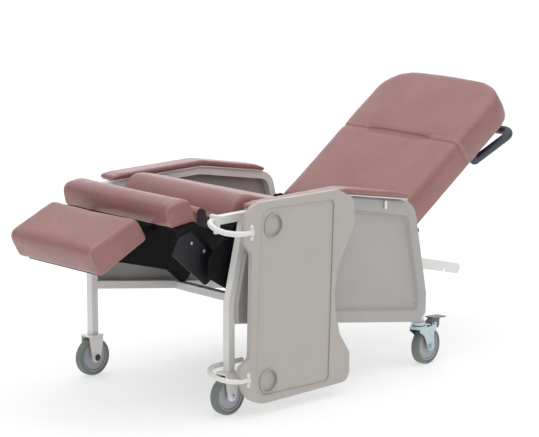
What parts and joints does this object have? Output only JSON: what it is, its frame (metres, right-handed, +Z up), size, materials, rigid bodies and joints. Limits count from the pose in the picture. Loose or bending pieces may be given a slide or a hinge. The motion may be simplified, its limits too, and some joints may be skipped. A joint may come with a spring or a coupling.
{
  "type": "patient recliner chair",
  "caption": "Wheeled patient recliner in rose vinyl: reclining back, raised legrest and footrest, side panels, push handle and a lift-off tray hung on its left side.",
  "frame": {"origin": "centre of the footprint, on the floor", "axes": "+X to the sitter's left, where the tray hangs; +Y towards the back of the chair; +Z up"},
  "size_m": [0.8083, 1.8824, 0.8854],
  "materials": {
    "white_powder_coat": "satin white powder coat",
    "zinc_plate": "bright zinc plate",
    "black_paint": "semi-gloss black paint",
    "grey_panel": "fine-textured grey plastic",
    "beige_tray": "satin grey-beige plastic",
    "rose_vinyl": "soft dusty-rose vinyl with a fine grain",
    "slate_grip": "matt slate sleeve over steel tube",
    "grey_tyre": "matt grey non-marking rubber",
    "grey_hub": "satin light-grey plastic"
  },
  "bodies": {
    "frame": {"front_leg_left": "white_powder_coat", "arm_rail_left": "white_powder_coat", "rear_leg_left": "white_powder_coat", "lower_rail_left": "white_powder_coat", "side_panel_left": "grey_panel", "arm_plate_left": "white_powder_coat", "arm_pad_left": "rose_vinyl", "front_fork_left": "white_powder_coat", "mechanism_plate_left": "black_paint", "caster_cap_left": "zinc_plate", "front_leg_right": "white_powder_coat", "arm_rail_right": "white_powder_coat", "rear_leg_right": "white_powder_coat", "lower_rail_right": "white_powder_coat", "side_panel_right": "grey_panel", "arm_plate_right": "white_powder_coat", "arm_pad_right": "rose_vinyl", "front_fork_right": "white_powder_coat", "mechanism_plate_right": "black_paint", "caster_cap_right": "zinc_plate", "middle_cross_rail": "white_powder_coat", "rear_cross_rail": "white_powder_coat", "tray_socket": "white_powder_coat"},
    "seat": {"seat_cushion": "rose_vinyl", "seat_pan": "black_paint", "seat_side_plate_left": "black_paint", "seat_side_plate_right": "black_paint", "position_bar": "white_powder_coat"},
    "back": {"back_cushion": "rose_vinyl", "back_board": "black_paint", "back_bracket_left": "black_paint", "back_bracket_right": "black_paint", "push_handle": "slate_grip"},
    "legrest": {"calf_cushion": "rose_vinyl", "calf_board": "black_paint", "gap_flap": "rose_vinyl", "legrest_arm_left": "black_paint", "legrest_arm_right": "black_paint", "link_cover_left": "black_paint", "link_cover_right": "black_paint"},
    "footrest": {"foot_cushion": "rose_vinyl", "foot_board": "black_paint", "foot_strap_left": "black_paint", "foot_strap_right": "black_paint"},
    "tray_assembly": {"tray": "beige_tray", "tray_hanger_upper": "white_powder_coat", "tray_hanger_lower": "white_powder_coat"},
    "release_lever": {"release_lever": "white_powder_coat"},
    "front_wheel_left": {"front_left_tyre": "grey_tyre", "front_left_hub": "grey_hub"},
    "front_wheel_right": {"front_right_tyre": "grey_tyre", "front_right_hub": "grey_hub"},
    "caster_left": {"caster_fork_left": "zinc_plate"},
    "caster_wheel_left": {"rear_left_tyre": "grey_tyre", "rear_left_hub": "grey_hub"},
    "brake_left": {"brake_pedal_left": "zinc_plate"},
    "caster_right": {"caster_fork_right": "zinc_plate"},
    "caster_wheel_right": {"rear_right_tyre": "grey_tyre", "rear_right_hub": "grey_hub"},
    "brake_right": {"brake_pedal_right": "zinc_plate"}
  },
  "joints": [
    {"name": "seat_tilt", "type": "hinge", "parent": "frame", "child": "seat", "pos_m": [-0.0237, 0.1173, 0.4], "axis": [1, 0, 0], "range_deg": [0, 12.1]},
    {"name": "recline", "type": "hinge", "parent": "seat", "child": "back", "pos_m": [-0.0237, 0.2833, 0.501], "axis": [1, 0, 0], "range_deg": [0, 30]},
    {"name": "legrest_lift", "type": "hinge", "parent": "seat", "child": "legrest", "pos_m": [-0.0237, -0.5147, 0.5], "axis": [1, 0, 0], "range_deg": [0, 80.2]},
    {"name": "footrest_fold", "type": "hinge", "parent": "legrest", "child": "footrest", "pos_m": [-0.0237, -0.6897, 0.585], "axis": [1, 0, 0], "range_deg": [0, 80.2]},
    {"name": "front_wheel_left_spin", "type": "hinge", "parent": "frame", "child": "front_wheel_left", "pos_m": [0.3063, -0.5027, 0.0625], "axis": [1, 0, 0], "continuous": true},
    {"name": "front_wheel_right_spin", "type": "hinge", "parent": "frame", "child": "front_wheel_right", "pos_m": [-0.3537, -0.5027, 0.0625], "axis": [1, 0, 0], "continuous": true},
    {"name": "caster_left_swivel", "type": "hinge", "parent": "frame", "child": "caster_left", "pos_m": [0.3063, 0.3653, 0.1455], "axis": [0, 0, 1], "continuous": true},
    {"name": "caster_left_wheel_spin", "type": "hinge", "parent": "caster_left", "child": "caster_wheel_left", "pos_m": [0.30212, 0.40508, 0.0625], "axis": [0.9945, 0.1045, 0], "continuous": true},
    {"name": "brake_left_press", "type": "hinge", "parent": "caster_left", "child": "brake_left", "pos_m": [0.30045, 0.42099, 0.1375], "axis": [0.9945, 0.1045, 0], "range_deg": [-12, 0]},
    {"name": "caster_right_swivel", "type": "hinge", "parent": "frame", "child": "caster_right", "pos_m": [-0.3537, 0.3653, 0.1455], "axis": [0, 0, 1], "continuous": true},
    {"name": "caster_right_wheel_spin", "type": "hinge", "parent": "caster_right", "child": "caster_wheel_right", "pos_m": [-0.34813, 0.40491, 0.0625], "axis": [0.9903, -0.1392, 0], "continuous": true},
    {"name": "brake_right_press", "type": "hinge", "parent": "caster_right", "child": "brake_right", "pos_m": [-0.34591, 0.42075, 0.1375], "axis": [0.9903, -0.1392, 0], "range_deg": [-12, 0]},
    {"name": "tray_pull", "type": "slide", "parent": "frame", "child": "tray_assembly", "axis": [0, -1, 0], "range_m": [0, 0.12]},
    {"name": "lever_squeeze", "type": "hinge", "parent": "frame", "child": "release_lever", "pos_m": [0.3423, 0.1653, 0.59], "axis": [1, 0, 0], "range_deg": [-20, 0], "stiffness_Nm_per_rad": 0.2, "springref_deg": 17.19}
  ],
  "couplings": [
    {"joint": "seat_tilt", "follows": "recline", "ratio": 0.4},
    {"joint": "legrest_lift", "follows": "recline", "ratio": 2.6667},
    {"joint": "footrest_fold", "follows": "recline", "ratio": 2.6667}
  ]
}
